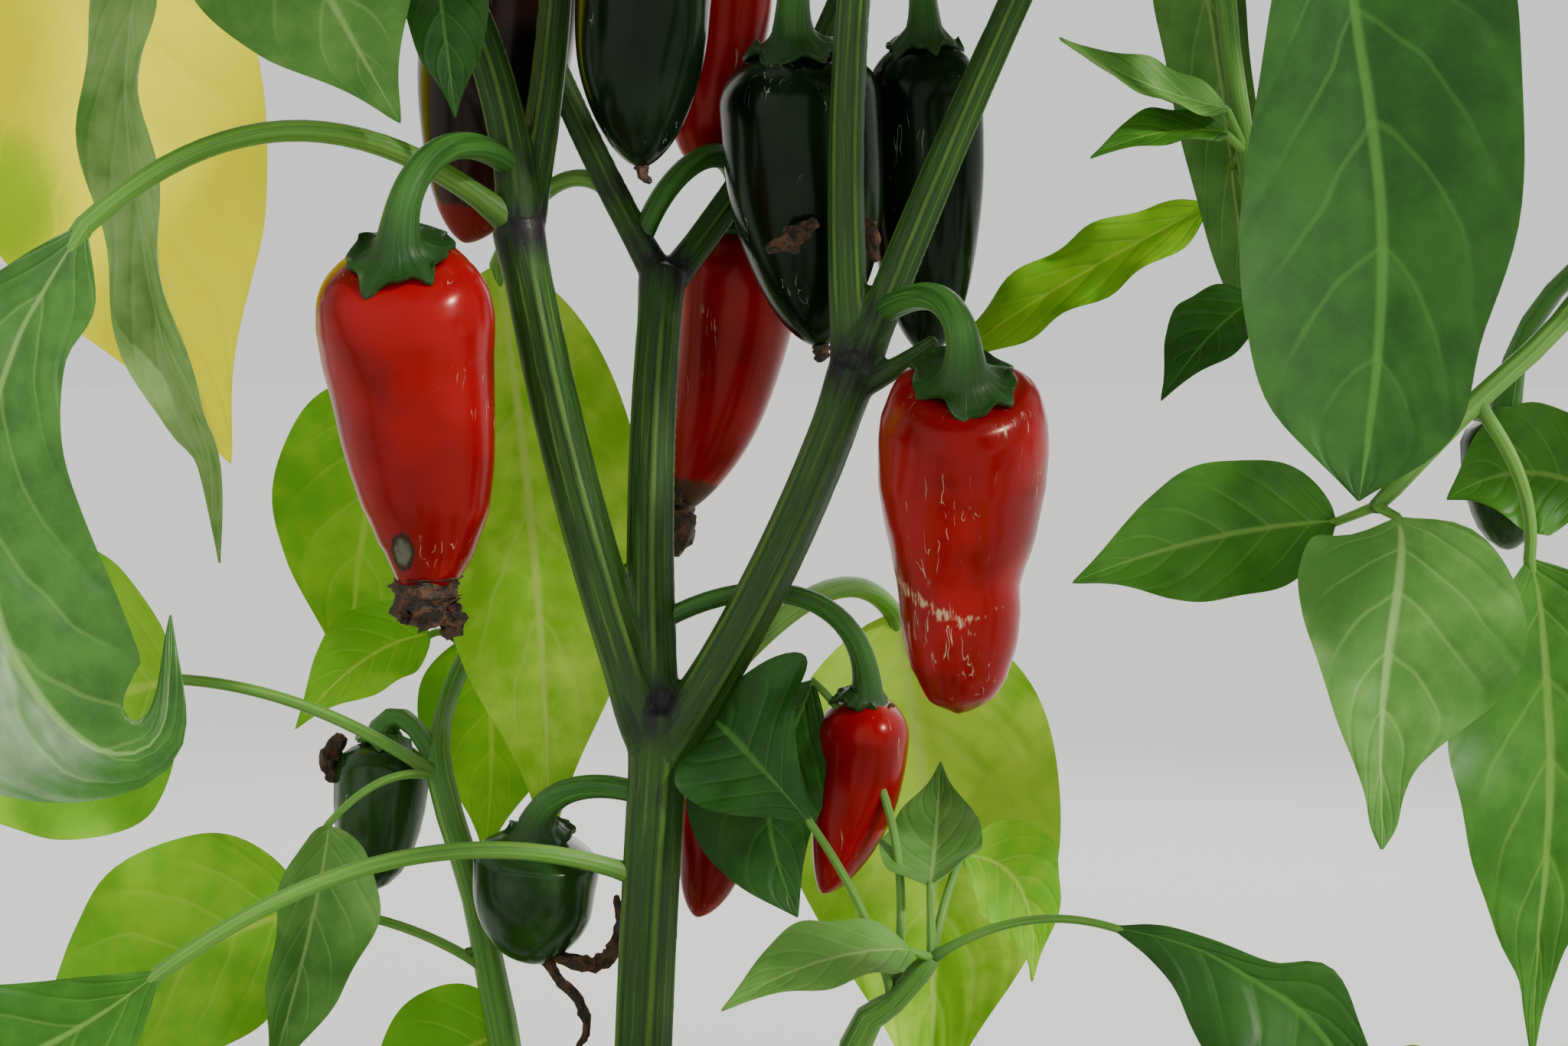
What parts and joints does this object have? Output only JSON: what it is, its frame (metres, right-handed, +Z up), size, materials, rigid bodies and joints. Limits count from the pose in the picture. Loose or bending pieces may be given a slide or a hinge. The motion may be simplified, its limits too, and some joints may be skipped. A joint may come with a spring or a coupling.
{
  "type": "chilli pepper plant",
  "caption": "Bushy chilli pepper plant with a slender forked green stem, hanging blunt pods in red and dark green, and pointed leaves, rooted at a flat cut at ground level",
  "frame": {"origin": "Middle of the flat cut under the main stem, at ground level.", "axes": "+Z up along the stem, +X to the plant's right as the picture shows it, -Y towards the camera."},
  "size_m": [0.477, 0.4325, 0.7046],
  "materials": {
    "stem": "smooth ridged green stem",
    "leaf": "satin leaf",
    "yellow_leaf": "satin leaf",
    "foliage": "satin leaves and twigs",
    "red_pod": "glossy skin",
    "maroon_pod": "glossy skin",
    "dark_pod": "glossy skin"
  },
  "bodies": {
    "root": {"main_stem": "stem", "left_bough": "stem", "right_bough": "stem", "middle_bough": "stem", "left_outer_bough": "stem", "left_inner_bough": "stem", "middle_left_bough": "stem", "middle_right_bough": "stem", "right_upright_bough": "stem", "right_outer_bough": "stem", "left_red_pod": "red_pod", "right_red_pod": "red_pod", "upper_left_pod": "maroon_pod", "upper_middle_pod": "dark_pod", "upper_red_pod": "red_pod", "middle_dark_pod": "dark_pod", "right_dark_pod": "dark_pod", "middle_red_pod": "red_pod", "lower_red_pod": "red_pod", "hidden_red_pod": "red_pod", "round_green_pod": "dark_pod", "left_arching_leaf": "leaf", "left_hanging_leaf": "leaf", "upper_left_leaf": "leaf", "small_upper_leaf": "leaf", "yellow_leaf": "yellow_leaf", "lower_left_leaf": "leaf", "back_right_leaf": "leaf", "back_left_leaf": "leaf", "left_low_mass": "foliage", "right_low_mass": "foliage", "back_low_mass": "foliage", "front_low_mass": "foliage", "right_outer_mass": "foliage", "right_hanging_mass": "foliage", "left_crown_mass": "foliage", "front_left_crown_mass": "foliage", "front_right_crown_mass": "foliage", "right_crown_mass": "foliage", "back_right_crown_mass": "foliage", "back_left_crown_mass": "foliage"}
  },
  "joints": []
}
